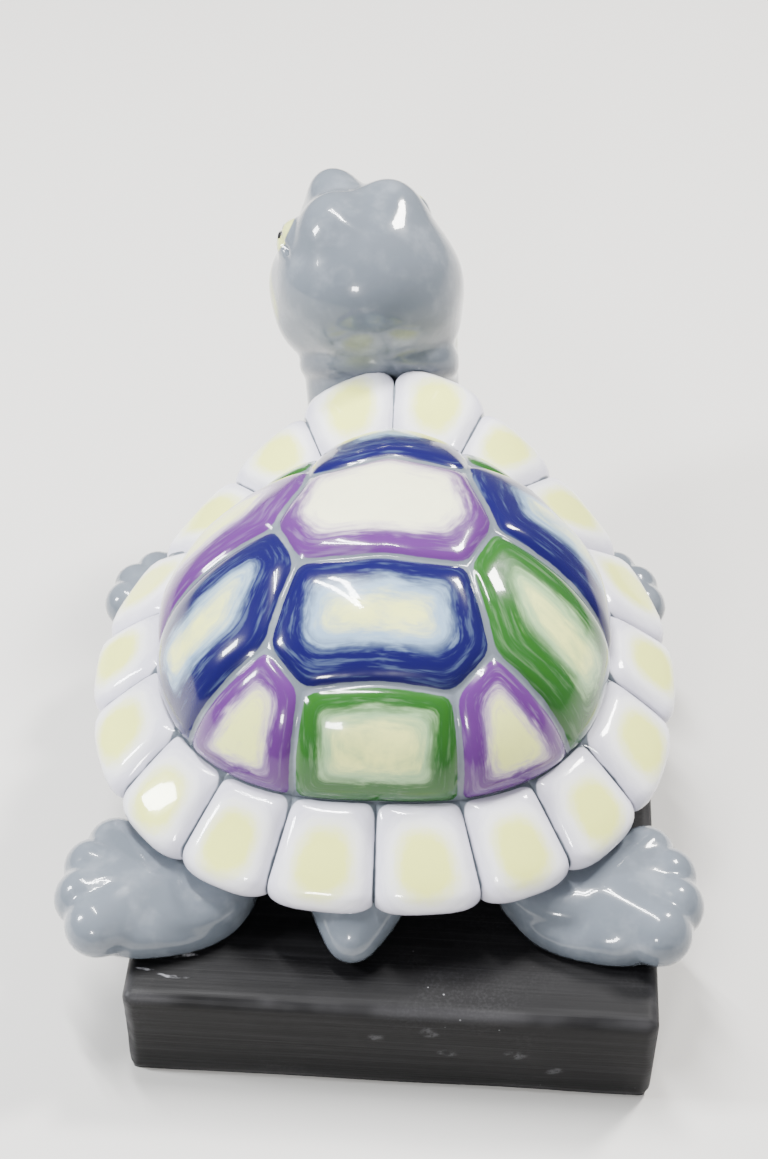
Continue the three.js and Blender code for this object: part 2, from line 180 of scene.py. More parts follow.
def smooth_step(low, high, value):
    t = np.clip((value - low) / (high - low), 0, 1)
    return t * t * (3 - 2 * t)


def smooth_min(a, b, blend):
    near = np.maximum(blend - np.abs(a - b), 0) / blend
    return np.minimum(a, b) - near * near * blend / 4


def soft_start(distance):
    """The distance, with a gentle start in place of the sharp one at 0."""
    return np.sqrt(distance ** 2 + 0.5) - 0.7


def unevenness(points, size, seed):
    """Gentle waves of about the given size in mm, mostly between -1 and 1."""
    rng = np.random.default_rng(seed)
    total = np.zeros(len(points))
    waves = 7
    for _ in range(waves):
        direction = rng.normal(size=3)
        direction *= 2 * math.pi / size / np.linalg.norm(direction)
        total += np.sin(points @ direction + rng.uniform(0, 2 * math.pi))
    return total / math.sqrt(waves)


# The marks of the modeller's hand: how deep and how broad in mm, and the seed.
HAND_MARKS = {"scute": (0.28, 34, 5), "tile": (0.25, 30, 9), "skin": (0.22, 26, 3)}


def hand_marks(points, part):
    depth, size, seed = HAND_MARKS[part]
    return depth * unevenness(points, size, seed)


# ---------------- the shell's base surface


def frontness(angle):
    """1 at the head, 0 at the tail."""
    return (1 + np.cos(angle)) / 2


def rim_radius(angle):
    is_front = np.cos(angle) >= 0
    reach = np.where(is_front, SHELL["front"], SHELL["rear"])
    power = np.where(is_front, SHELL["front_roundness"], SHELL["rear_roundness"])
    across = np.abs(np.sin(angle)) / SHELL["half_width"]
    along = np.abs(np.cos(angle)) / reach
    return (across ** power + along ** power) ** (-1 / power)


def lean_at(angle):
    return LEAN * np.sin(angle) * frontness(angle) ** 2


def rim_height(angle):
    lift = RIM_HEIGHT["front_rise"] * frontness(angle) ** RIM_HEIGHT["front_sharpness"]
    return RIM_HEIGHT["rear"] + lift + RIM_HEIGHT["side"] * np.sin(angle) ** 2 + lean_at(angle)


def foot_radius(angle):
    to_front = (TILE_DEPTH["front"] - TILE_DEPTH["side"]) * np.maximum(np.cos(angle), 0) ** 2
    to_rear = (TILE_DEPTH["rear"] - TILE_DEPTH["side"]) * np.maximum(-np.cos(angle), 0) ** 1.5
    return rim_radius(angle) - TILE_DEPTH["side"] - to_front - to_rear


def foot_height(angle):
    front = frontness(angle)
    to_front = (DOME_FOOT["front"] - DOME_FOOT["side"]) * front ** DOME_FOOT["front_sharpness"]
    to_rear = (DOME_FOOT["rear"] - DOME_FOOT["side"]) * (1 - front) ** 2
    return DOME_FOOT["side"] + to_front + to_rear


def dome_base(chart):
    """From the chart, a disc with the crown at 0 and the foot at 1, to the dome."""
    across, along = chart[..., 0], chart[..., 1]
    angle = np.arctan2(across, along)
    opening = np.minimum(np.hypot(across, along), 1) * math.pi / 2
    radius = foot_radius(angle) * np.sin(opening)
    foot = foot_height(angle)
    height = foot + (SHELL["top"] - foot) * np.cos(opening) + lean_at(angle) * np.sin(opening)
    return np.stack([radius * np.sin(angle), radius * np.cos(angle), height], axis=-1)


def dome_normal(chart):
    step = 0.02
    length = np.maximum(np.hypot(chart[..., 0], chart[..., 1]), 1e-6)
    inner = chart * np.minimum(1, (1 - step) / length)[..., None]
    across = dome_base(inner + [step, 0]) - dome_base(inner - [step, 0])
    along = dome_base(inner + [0, step]) - dome_base(inner - [0, step])
    normal = np.cross(across, along)
    return normal / np.linalg.norm(normal, axis=-1, keepdims=True)


def chart_of(x, y):
    angle = math.atan2(x, y)
    length = math.asin(min(math.hypot(x, y) / float(foot_radius(angle)), 1)) / (math.pi / 2)
    return np.array([length * math.sin(angle), length * math.cos(angle)])


# ---------------- the shell's mesh

# Rows of points at these distances from a seam in mm, then at these shares of the rest.
SEAM_ROWS = [0.5, 1.0, 1.6, 2.3, 3.2, 4.4, 6.0, 8.2]
SCUTE_ROWS = [0.14, 0.3, 0.46, 0.62, 0.78, 0.9]
TILE_ROWS = [0.2, 0.4, 0.6, 0.8, 1.0]
LIP_TURNS = np.radians(np.arange(14, 183, 14))
SEAM_STEP = 3.0
# The rows at a tile's seams reach at most this share across it, with the rest cut in parts.
SEAM_SHARE = 0.42
MIDDLE_PARTS = 6


def ring_columns():
    """Angles round the rim, closer together at the seams, with where each lies on its tile."""
    whole = np.concatenate([TILE_SEAMS, 2 * math.pi - TILE_SEAMS[-2::-1]])
    columns = []
    for tile, (start, end) in enumerate(zip(whole[:-1], whole[1:])):
        width = end - start
        arc = width * float(rim_radius((start + end) / 2))
        near = [0.0] + [row for row in SEAM_ROWS if row < SEAM_SHARE * arc]
        middle = np.linspace(near[-1], arc - near[-1], MIDDLE_PARTS + 1)[1:-1].tolist()
        places = near + middle + [arc - row for row in reversed(near[1:])]
        is_front = tile in (0, len(whole) - 2)
        bulge = TILE["front_bulge"] if is_front else TILE["bulge"]
        columns += [(start + width * place / arc, place / arc, arc, bulge) for place in places]
    return [np.array(values) for values in zip(*columns)]


def distance_to_line(points, line):
    """From each point to the nearest place on a chain of points."""
    start, end = line[:-1], line[1:]
    along = end - start
    offset = points[:, None, :] - start[None]
    share = (offset * along).sum(-1) / np.maximum((along * along).sum(-1), 1e-9)
    nearest = offset - np.clip(share, 0, 1)[..., None] * along
    return np.sqrt((nearest ** 2).sum(-1).min(axis=1))


# What a point carries where there is no paint: no direction, and as far out as can be.
NO_STROKE = [0.0, 0.0, 1.0]
FIELD_SQUARENESS = 2.6
# To the brush, a scute is all middle once it is this share of the way in from its seams.
DEEPEST_SHARE = 0.92
# How far apart the scutes' brush strokes lie in the noise, and where the tiles' strokes lie.
STROKE_STEP = 7
TILE_STROKES = 50


class ShellMesh:
    """Points and faces of the shell, with the paint at every point."""

    def __init__(self):
        self.points = []
        self.faces = []
        self.seam = []
        self.stroke = []
        self.paint = []
        self.count = 0

    def add(self, points, seam, stroke, paint):
        first = self.count
        self.points.append(np.asarray(points, float))
        self.seam.append(np.asarray(seam, float))
        self.stroke.append(np.asarray(stroke, float))
        self.paint += [paint] * len(points)
        self.count += len(points)
        return np.arange(first, self.count)

    def add_bare(self, points):
        """Points on a seam or underneath, where the grey clay shows."""
        return self.add(points, np.zeros(len(points)), [NO_STROKE] * len(points), "tile")

    def strip(self, outer, inner):
        """Joins two closed rings of as many points."""
        next_outer, next_inner = np.roll(outer, -1), np.roll(inner, -1)
        self.faces += np.stack([outer, next_outer, next_inner, inner], axis=1).tolist()

    def fan(self, ring, tip):
        self.faces += [[a, b, tip] for a, b in zip(ring.tolist(), np.roll(ring, -1).tolist())]


def stroke_of(places, offset, outwards=None):
    """The direction of a point from the middle of its field, and how far out it is."""
    norm = (np.abs(places) ** FIELD_SQUARENESS).sum(-1) ** (1 / FIELD_SQUARENESS)
    length = np.maximum(np.hypot(places[:, 0], places[:, 1]), 1e-6)
    direction = places / length[:, None] * np.minimum(norm * 3, 1)[:, None]
    return np.column_stack([direction + offset, norm if outwards is None else outwards])


def build_dome(shell, angles):
    foot_chart = np.column_stack([np.sin(angles), np.cos(angles)])
    foot_points = dome_base(foot_chart)
    foot_ids = shell.add_bare(foot_points)

    corners = {}
    for side in (1, -1):
        for name, (x, y) in CORNERS.items():
            chart = chart_of(x * side, y)
            point = dome_base(chart)
            index = shell.add_bare([point])[0]
            corners[name, side] = {"chart": chart, "id": index, "key": (name, side)}
        for name, turn in FOOT_CORNERS.items():
            wanted = math.radians(turn if side > 0 else 360 - turn)
            column = int(np.argmin(np.abs(angles - wanted)))
            corners[name, side] = {
                "chart": foot_chart[column],
                "id": foot_ids[column],
                "column": column,
                "key": (name, side),
            }

    seams = {}

    def seam(start, end):
        """Chart places and ids of one seam, made once and shared by its two scutes."""
        if (end["key"], start["key"]) in seams:
            charts, ids = seams[end["key"], start["key"]]
            return charts[::-1], ids[::-1]
        if (start["key"], end["key"]) not in seams:
            ends = dome_base(np.array([start["chart"], end["chart"]]))
            pieces = max(2, round(float(np.linalg.norm(ends[1] - ends[0])) / SEAM_STEP))
            charts = np.linspace(start["chart"], end["chart"], pieces + 1)
            middle_ids = shell.add_bare(dome_base(charts[1:-1]))
            ids = np.concatenate([[start["id"]], middle_ids, [end["id"]]])
            seams[start["key"], end["key"]] = (charts, ids)
        return seams[start["key"], end["key"]]

    def along_foot(start, end):
        count = len(angles)
        forward = (end["column"] - start["column"]) % count
        step = 1 if forward <= count / 2 else -1
        length = forward if step > 0 else count - forward
        columns = (start["column"] + step * np.arange(length + 1)) % count
        return foot_chart[columns], foot_ids[columns]

    def pillow(outline, paint, offset):
        sides = []
        for start, end in zip(outline, outline[1:] + outline[:1]):
            both_on_foot = "column" in start and "column" in end
            sides.append(along_foot(start, end) if both_on_foot else seam(start, end))
        charts = np.concatenate([side[0][:-1] for side in sides])
        ids = np.concatenate([side[1][:-1] for side in sides])
        lines = [dome_base(side[0]) for side in sides]
        edge = dome_base(charts)
        middle = charts.mean(axis=0)
        centre = dome_base(middle)
        reach = np.linalg.norm(edge - centre, axis=1)

        spread = edge - centre
        axes = np.linalg.svd(spread - spread.mean(axis=0), full_matrices=False)[2][:2]
        half = np.abs(spread @ axes.T).max(axis=0)

        def inset_at(points):
            inset = distance_to_line(points, lines[0])
            for line in lines[1:]:
                inset = smooth_min(inset, distance_to_line(points, line), SCUTE["corner"])
            return np.maximum(inset, 0)

        deepest = DEEPEST_SHARE * float(inset_at(centre[None])[0])
        plan_half = np.abs(spread[:, :2]).max(axis=0)
        last = np.minimum(SEAM_ROWS[-1] / reach, 0.5)
        shares = [row / SEAM_ROWS[-1] * last for row in SEAM_ROWS]
        shares += [last + (1 - last) * row for row in SCUTE_ROWS]
        outer = ids
        for share in shares + [np.ones(1)]:
            is_tip = len(share) == 1
            ring = middle[None] if is_tip else charts + (middle - charts) * share[:, None]
            base = dome_base(ring)
            inset = inset_at(base)
            beyond = inset - SCUTE["seam_half_width"]
            eased = (beyond + np.sqrt(beyond ** 2 + 0.5)) / 2
            lift = SCUTE["puff"] * rounded_rise(eased / SCUTE["softness"])
            lift -= SCUTE["puff"] * rounded_rise(SCUTE["sunk"] / SCUTE["softness"])
            wave = hand_marks(base, "scute") * smooth_step(1, 8, inset)
            points = base + dome_normal(ring) * (np.maximum(lift, 0) + wave)[:, None]
            places = (base - centre) @ axes.T / half
            pulled = ((base - centre)[:, :2] / plan_half) @ PAINTS[paint]["pull"]
            outwards = 1 - np.minimum(inset / deepest, 1) + pulled
            inner = shell.add(points, inset, stroke_of(places, offset, outwards), paint)
            if is_tip:
                shell.fan(outer, int(inner[0]))
            else:
                shell.strip(outer, inner)
            outer = inner

    outlines = []
    for names, paint in zip(SPINE_SCUTES, SPINE_PAINTS):
        right = [corners[name, 1] for name in names]
        left = [corners[name, -1] for name in names]
        outlines.append((right[::-1] + left, paint))
    for names, right_paint, left_paint in zip(COSTAL_SCUTES, RIGHT_PAINTS, LEFT_PAINTS):
        outlines.append(([corners[name, 1] for name in names][::-1], right_paint))
        outlines.append(([corners[name, -1] for name in names], left_paint))
    for i, (outline, paint) in enumerate(outlines):
        pillow(outline, paint, i * STROKE_STEP)
    return foot_points, foot_ids


def build_rim(shell, columns, foot_points, foot_ids):
    angle, share, arc, bulge = columns
    outward = np.column_stack([np.sin(angle), np.cos(angle), np.zeros(len(angle))])
    to_seam = np.minimum(share, 1 - share) * arc
    side_rise = rounded_rise(soft_start(to_seam) / TILE["softness"])
    bulged = bulge * rounded_rise(to_seam / TILE["bulge_width"])
    reach = rim_radius(angle) - TILE["drawn_in"] + bulged
    lip = TILE["seam_lip"] + (TILE["lip"] - TILE["seam_lip"]) * side_rise

    edge = outward * reach[:, None]
    edge[:, 2] = rim_height(angle)
    slope = edge - foot_points
    slope /= np.linalg.norm(slope, axis=1, keepdims=True)
    normal = -outward * slope[:, 2:]
    normal[:, 2] = (slope * outward).sum(axis=1)
    lip_middle = edge - slope * lip[:, None]
    top_end = lip_middle + normal * lip[:, None]
    length = np.linalg.norm(top_end - foot_points, axis=1)
    across = share * 2 - 1

    outer = foot_ids
    whole = length + lip * math.pi / 2
    last = SEAM_ROWS[-1] / length
    shares = [row / length for row in SEAM_ROWS]
    shares += [last + (1 - last) * row for row in TILE_ROWS]
    for t in shares:
        inset = t * length
        rise = TILE["puff"] * side_rise * rounded_rise(soft_start(inset) / TILE["softness"])
        place = foot_points + (top_end - foot_points) * t[:, None]
        place = place + normal * (rise * (1 - t * t))[:, None]
        wave = hand_marks(place, "tile") * smooth_step(1, 7, np.minimum(inset, to_seam))
        place = place + normal * wave[:, None]
        places = np.column_stack([across, inset / whole * 2 - 1])
        distance = np.maximum(smooth_min(inset, to_seam, TILE["corner"]), 0) + TILE["painted_over"]
        inner = shell.add(place, distance, stroke_of(places, TILE_STROKES), "tile")
        shell.strip(outer, inner)
        outer = inner

    for turn in LIP_TURNS:
        inset = length + lip * turn
        place = lip_middle + normal * (lip * np.cos(turn))[:, None]
        place = place + slope * (lip * np.sin(turn))[:, None]
        places = np.column_stack([across, inset / whole * 2 - 1])
        distance = to_seam + TILE["painted_over"]
        inner = shell.add(place, distance, stroke_of(places, TILE_STROKES), "tile")
        shell.strip(outer, inner)
        outer = inner

    for inward in (6, 14, UNDERSIDE["turn_in"]):
        under = place - outward * inward
        floor = RIM_HEIGHT["rear"] - UNDERSIDE["drop"]
        under[:, 2] = np.maximum(under[:, 2], floor)
        fade = np.maximum(to_seam * (1 - inward / UNDERSIDE["turn_in"]), 0)
        stroke = np.column_stack([across, across, np.ones(len(angle))])
        inner = shell.add(under, fade, stroke, "tile")
        shell.strip(outer, inner)
        outer = inner
    centre = [0, 0, RIM_HEIGHT["rear"] + UNDERSIDE["rise"]]
    tip = shell.add_bare([centre])
    shell.fan(outer, int(tip[0]))


def build_shell():
    shell = ShellMesh()
    columns = ring_columns()
    foot_points, foot_ids = build_dome(shell, columns[0])
    build_rim(shell, columns, foot_points, foot_ids)
    return shell


# ---------------- the skin: blended eggs

HEAD = np.array([-14, 176.5, 123])
FACE_TURN = math.radians(27)
FACE_RISE = math.radians(25)


def turned(turn, rise=0):
    """Columns are right, forward and up after rising and then turning to the left."""
    spin = Matrix.Rotation(turn, 3, "Z") @ Matrix.Rotation(rise, 3, "X")
    return np.array(spin)


FACE = turned(FACE_TURN, FACE_RISE)


def egg(centre, radii, axes=None, plan=2.0, side=2.0):
    """An ellipsoid, squarer in plan or from the side as those powers go above 2."""
    axes = np.eye(3) if axes is None else axes
    reach = np.abs(axes) @ np.array(radii, float)
    return {
        "centre": np.array(centre, float),
        "radii": np.array(radii, float),
        "axes": axes,
        "plan": plan,
        "side": side,
        "low": centre - reach,
        "high": centre + reach,
    }


def rod(start, end, start_radius, end_radius):
    """A finger: a straight piece with round ends."""
    start, end = np.array(start, float), np.array(end, float)
    return {
        "start": start,
        "end": end,
        "radii": (start_radius, end_radius),
        "low": np.minimum(start - start_radius, end - end_radius),
        "high": np.maximum(start + start_radius, end + end_radius),
    }


def face_place(right, forward, up):
    return HEAD + FACE @ np.array([right, forward, up], float)


def face_egg(right, forward, up, *radii):
    return egg(face_place(right, forward, up), radii, FACE)


def outside_egg(one, points):
    local = (points - one["centre"]) @ one["axes"]
    x, y, z = np.maximum(np.abs(local) / one["radii"], 1e-6).T
    across, along, upward = one["radii"]
    plan, side = one["plan"], one["side"]
    flat = (x ** plan + y ** plan) ** (1 / plan)
    norm = (flat ** side + z ** side) ** (1 / side)
    flat_slope = np.hypot(x ** (plan - 1) / across, y ** (plan - 1) / along) * flat ** (1 - plan)
    slope = np.hypot(flat ** (side - 1) * flat_slope, z ** (side - 1) / upward) * norm ** (1 - side)
    return (norm - 1) / np.maximum(slope, 1e-4)


def outside_rod(one, points):
    along = one["end"] - one["start"]
    share = np.clip((points - one["start"]) @ along / (along @ along), 0, 1)
    offset = points - one["start"] - share[:, None] * along
    first, last = one["radii"]
    return np.linalg.norm(offset, axis=1) - (first + (last - first) * share)


def outside(one, points):
    """Below zero inside an egg or a rod, above zero outside, and near enough a distance."""
    return outside_rod(one, points) if "end" in one else outside_egg(one, points)


def group(eggs, join, blend=1):
    """Eggs and rods, with how softly they join what came before them and blend, in mm."""
    return {"eggs": eggs, "join": join, "blend": blend}


def swept_eggs(path, half_widths, half_depths, count, join, blend):
    """Eggs strung closely along a smooth path."""
    path = np.array(path, float)
    ends = np.vstack([2 * path[0] - path[1], path, 2 * path[-1] - path[-2]])
    eggs = []
    for i in range(count):
        place = i / (count - 1) * (len(path) - 1)
        k = min(int(place), len(path) - 2)
        t = place - k
        a, b, c, d = ends[k:k + 4]
        bend = 2 * a - 5 * b + 4 * c - d
        twist = 3 * b - a - 3 * c + d
        point = 0.5 * (2 * b + (c - a) * t + bend * t ** 2 + twist * t ** 3)
        forward = 0.5 * ((c - a) + 2 * bend * t + 3 * twist * t ** 2)
        forward /= np.linalg.norm(forward)
        right = np.cross(forward, [0, 0, 1])
        right /= np.linalg.norm(right)
        above = np.cross(right, forward)
        width = np.interp(place, np.arange(len(half_widths)), half_widths)
        depth = np.interp(place, np.arange(len(half_depths)), half_depths)
        radii = (width, min(width, depth), depth)
        eggs.append(egg(point, radii, np.column_stack([right, forward, above])))
    return group(eggs, join, blend)


PAD = {"height": 3, "radii": (36, 27, 11.5), "turn": math.radians(10), "plan": 2.3, "side": 3.5}
TOES = {"step": 29, "root": 9, "reach": 30, "root_radius": 11, "radius": 12, "fatter": 0.5}
TOE_HEIGHT = {"root": 13, "tip": 12.5}
KNUCKLES = {"out": 7, "height": 10, "radii": (23, 27, 14)}

# A foot's place, the turn of its first toe in degrees, its size, and the places and radii
# of the thigh and the haunch behind it.
FEET = [
    {
        "place": (92, -109),
        "first": 48,
        "size": 1,
        "thigh": ((78, -99, 8), (29, 27, 14)),
        "haunch": ((58, -76, 20), (32, 30, 17)),
    },
    {
        "place": (-89, -112),
        "first": 47,
        "size": 1,
        "thigh": ((-78, -103, 8), (30, 31, 14)),
        "haunch": ((-58, -78, 20), (32, 30, 17)),
    },
    {"place": (93, 66), "first": 84, "size": 0.86, "thigh": ((76, 59, 24), (30, 28, 26))},
    {"place": (-97, 59), "first": 84, "size": 0.86, "thigh": ((-76, 53, 24), (30, 28, 26))},
]


def foot_groups(foot):
    size = foot["size"]
    centre = np.array([*foot["place"], 0])
    side = 1 if centre[0] > 0 else -1
    toes = []
    for k in range(4):
        angle = math.radians(foot["first"] - TOES["step"] * k)
        outward = np.array([side * math.cos(angle), math.sin(angle), 0])
        root = centre + outward * TOES["root"] * size
        tip = centre + outward * TOES["reach"] * size
        root[2] = TOE_HEIGHT["root"] * size
        tip[2] = TOE_HEIGHT["tip"] * size
        radius = (TOES["radius"] + TOES["fatter"] * k) * size
        toes.append(rod(root, tip, TOES["root_radius"] * size, radius))
    out = np.array([side * KNUCKLES["out"] * size, 0, KNUCKLES["height"] * size])
    knuckles = egg(centre + out, np.array(KNUCKLES["radii"]) * size)
    radii = np.array(PAD["radii"]) * size
    middle = centre + [0, 0, PAD["height"] * size]
    pad = egg(middle, radii, turned(-side * PAD["turn"]), PAD["plan"], PAD["side"])
    thigh = egg(*foot["thigh"], side=3.0)
    haunch = [group([egg(*foot["haunch"])], 6)] if "haunch" in foot else []
    return haunch + [group([thigh], 4), group([pad], 2.2), group(toes, 2.6, 2), group([knuckles], 7)]


# The right eye's place on the face, its radii, which way it looks, and how far from the
# middle of the pupil its two paints fade in.
EYE = {
    "right": 27,
    "forward": 19,
    "up": 4,
    "radius": 12.5,
    "length": 13,
    "painted_to": 15,
    "gaze": (0.70, 0.70, 0.12),
    "ball": (10.6, 9.4),
    "pupil": (5.0, 4.4),
}


def eye_place(side):
    return face_place(side * EYE["right"], EYE["forward"], EYE["up"])


def head_groups():
    skull = egg(HEAD + [-1, 0, -1], (41.5, 39.5, 37))
    # The back of the head ends in a broad nape, square to a neck that leans forwards.
    nape = egg(np.array([-13, 177, 100]), (44.5, 35, 31), NECK_LEAN, side=2.6)
    occiput = egg(HEAD + [0.5, -4, -7], (40.5, 35.5, 25))
    jaw = face_egg(0, 8, -18, 34, 34, 17)
    cheeks = [face_egg(side * 21, 3, -21, 19, 24, 16) for side in (1, -1)]
    brows = [face_egg(side * 15, 16, 20, 12.5, 14, 13) for side in (1, -1)]
    snout = face_egg(-2.5, 31, 5, 15.5, 22, 16)
    upper_lip = face_egg(-1, 30, -5, 19, 20, 9)
    chin = face_egg(0, 27, -17, 15, 19, 8)
    eye_radii = (EYE["radius"], EYE["length"], EYE["radius"])
    eyes = [egg(eye_place(side), eye_radii, FACE) for side in (1, -1)]
    return [
        group([skull, nape, occiput, jaw, *cheeks, *brows], 2, 12),
        group([snout, upper_lip], 6, 7),
        group([chin], 2.5),
        group(eyes, 1.6),
    ]


NECK_LEAN = turned(0, math.radians(-52))
NECK = swept_eggs(
    [(0, 60, 38), (-3, 114, 37), (-6, 160, 52), (-9, 180, 83), (-11, 181, 106)],
    [36, 36, 36.5, 37, 37],
    [29, 30, 31, 34, 30],
    count=26,
    join=4,
    blend=4,
)
# The fold of skin at the top of the neck, just under the skull.
COLLAR = group([egg(np.array([-8.5, 163, 78]), (38.8, 31.5, 13.5), NECK_LEAN, side=3)], 2.5)
TAIL = swept_eggs(
    [(-5, -92, 20), (-7, -118, 16), (-9, -134, 10)],
    [28, 18.5, 8.5],
    [17, 14, 8.5],
    count=14,
    join=3,
    blend=4,
)
BELLY = group([egg(np.array([0, -4, 37]), (98, 104, 30))], 4)


def skin_groups():
    feet = [part for foot in FEET for part in foot_groups(foot)]
    return [BELLY, NECK, COLLAR, TAIL] + head_groups() + feet


FAR = 12.0
MOUTH = {
    "up": -11,
    "curl": 0.014,
    "half_width": 1.5,
    "depth": 1.6,
    "starts": 6,
    "full": 16,
    "softness": 0.8,
}
SOLE_SOFTNESS = 3


def mouth_groove(points):
    """Above zero between the lips: a thin curved sheet across the front of the face."""
    local = (points - HEAD) @ FACE
    up = local[:, 2] - MOUTH["up"] - MOUTH["curl"] * local[:, 0] ** 2
    width = MOUTH["half_width"] * smooth_step(MOUTH["starts"], MOUTH["full"], local[:, 1])
    return np.where(local[:, 1] > MOUTH["starts"], width - np.abs(up), -FAR)


def smooth_max(a, b, blend):
    return -smooth_min(-a, -b, blend)


def skin_field(points, groups):
    """The blended eggs at many points, below zero inside. Far away it is only FAR."""
    field = np.full(len(points), FAR)
    for part in groups:
        low = np.min([one["low"] for one in part["eggs"]], axis=0) - FAR
        high = np.max([one["high"] for one in part["eggs"]], axis=0) + FAR
        near = ((points > low) & (points < high)).all(axis=1)
        if not near.any():
            continue
        close = points[near]
        value = outside(part["eggs"][0], close)
        for one in part["eggs"][1:]:
            value = smooth_min(value, outside(one, close), part["blend"])
        field[near] = smooth_min(field[near], value, part["join"])
    groove = smooth_min(mouth_groove(points), field + MOUTH["depth"], MOUTH["softness"])
    field = smooth_max(field, groove, MOUTH["softness"])
    # Flat soles, with the glaze rounded where they meet the block.
    return smooth_max(field, -points[:, 2], SOLE_SOFTNESS)


# The grid that the skin is meshed on, the step that its slope is measured over, and how
# many times its points are drawn closer to the surface.
SKIN = {
    "cell": 2.0,
    "quick_cell": 4.0,
    "low": (-148.0, -154.0, -4.0),
    "high": (146.0, 240.0, 182.0),
    "slope_step": 0.25,
    "rounds": 4,
}


def slope_of_field(places, groups):
    slopes = []
    for axis in range(3):
        nudge = np.zeros(3)
        nudge[axis] = SKIN["slope_step"]
        ahead = skin_field(places + nudge, groups)
        behind = skin_field(places - nudge, groups)
        slopes.append((ahead - behind) / (2 * SKIN["slope_step"]))
    return np.stack(slopes, axis=1)


def build_skin():
    """Meshes the blended eggs on a grid, then draws every point onto their surface."""
    cell = SKIN["cell"]
    groups = skin_groups()
    low = np.array(SKIN["low"])
    counts = np.ceil((SKIN["high"] - low) / cell).astype(int)
    axes = [low[i] + cell * np.arange(counts[i]) for i in range(3)]
    points = np.stack(np.meshgrid(*axes, indexing="ij"), axis=-1).reshape(-1, 3)
    field = skin_field(points, groups).reshape(counts)
    grid = openvdb.FloatGrid()
    grid.background = FAR
    grid.copyFromArray(np.ascontiguousarray(field, dtype=np.float32))
    places, quads = grid.convertToQuads()
    places = places.astype(float) * cell + low
    for _ in range(SKIN["rounds"]):
        value = skin_field(places, groups)
        slope = slope_of_field(places, groups)
        steep = np.maximum((slope ** 2).sum(axis=1), 0.2)
        move = np.clip(value / steep, -cell, cell)
        places = places - slope * move[:, None]
    normal = slope / np.linalg.norm(slope, axis=1, keepdims=True)
    places[:, 2] = np.maximum(places[:, 2], 0)
    above = smooth_step(1, 8, places[:, 2])
    places += normal * (hand_marks(places, "skin") * above)[:, None]
    return places, quads.astype(int)


# ---------------- from numbers to meshes


def add_object(name, data):
    added = bpy.data.objects.new(name, data)
    bpy.context.scene.collection.objects.link(added)
    return added


def mesh_object(name, points, faces):
    mesh = bpy.data.meshes.new(name)
    mesh.from_pydata((np.asarray(points) * MM).tolist(), [], faces)
    mesh.validate()
    return add_object(name, mesh)


def faces_outwards(points, faces):
    """Turns every face round if the closed mesh is inside out."""
    total = 0.0
    for face in faces:
        a, b, c = points[face[0]], points[face[1]], points[face[2]]
        total += float(np.dot(a, np.cross(b, c)))
        if len(face) == 4:
            d = points[face[3]]
            total += float(np.dot(a, np.cross(c, d)))
    return faces if total > 0 else [face[::-1] for face in faces]


def united(first, second, name):
    """One closed mesh from two that overlap."""
    join = first.modifiers.new("join", "BOOLEAN")
    join.operation = "UNION"
    join.solver = "MANIFOLD"
    join.object = second
    graph = bpy.context.evaluated_depsgraph_get()
    mesh = bpy.data.meshes.new_from_object(first.evaluated_get(graph), depsgraph=graph)
    mesh.name = name
    for spare in (first, second):
        bpy.data.objects.remove(spare)
    return add_object(name, mesh)


def write_attribute(mesh, name, kind, values):
    field = {"FLOAT": "value", "FLOAT_VECTOR": "vector", "FLOAT_COLOR": "color"}[kind]
    attribute = mesh.attributes.new(name, kind, "POINT")
    attribute.data.foreach_set(field, np.ascontiguousarray(values, np.float32).ravel())


# The union moves the shell's points by less than this, in mm.
SAME_PLACE = 0.02


def paint_turtle(piece, shell):
    """Writes on every point how far the nearest seam is and which paints it lies in."""
    mesh = piece.data
    count = len(mesh.vertices)
    places = np.empty(count * 3)
    mesh.vertices.foreach_get("co", places)
    places = places.reshape(-1, 3) / MM

    shell_points = np.concatenate(shell.points)
    tree = KDTree(len(shell_points))
    for i, point in enumerate(shell_points):
        tree.insert(point, i)
    tree.balance()
    nearest = np.array([tree.find(place)[1:] for place in places])
    index = nearest[:, 0].astype(int)
    on_shell = nearest[:, 1] < SAME_PLACE

    seam = np.where(on_shell, np.concatenate(shell.seam)[index], 0)
    stroke = np.where(on_shell[:, None], np.concatenate(shell.stroke)[index], [0, 0, 1])
    names = sorted(PAINTS)
    which = np.array([names.index(name) for name in shell.paint])[index]
    write_attribute(mesh, "seam", "FLOAT", seam)
    write_attribute(mesh, "stroke", "FLOAT_VECTOR", stroke)
    for layer, label in enumerate(["edge_paint", "tint_paint", "heart_paint"]):
        colours = np.array([(*PAINTS[name]["colours"][layer], 1) for name in names])[which]
        write_attribute(mesh, label, "FLOAT_COLOR", colours)
    boldness = [TILE["boldness"] if name == "tile" else 1.0 for name in names]
    spans = [(PAINTS[name]["edge"], PAINTS[name]["heart"]) for name in names]
    reach = np.column_stack([spans, boldness])[which]
    write_attribute(mesh, "reach", "FLOAT_VECTOR", reach)
    write_attribute(mesh, "throat", "FLOAT", throat_paint(places) * ~on_shell)
    write_attribute(mesh, "eye", "FLOAT", eye_distance(places))


# Where the throat's paint begins and where it is full, in mm: on the jaw in the face's own
# directions, and on the neck in the turtle's.
THROAT = {
    "jaw_up": (-4, -20),
    "jaw_forward": (-14, 8),
    "neck_forward": (176, 200),
    "neck_top": (112, 96),
    "neck_foot": (14, 34),
    "slant": 0.35,
}


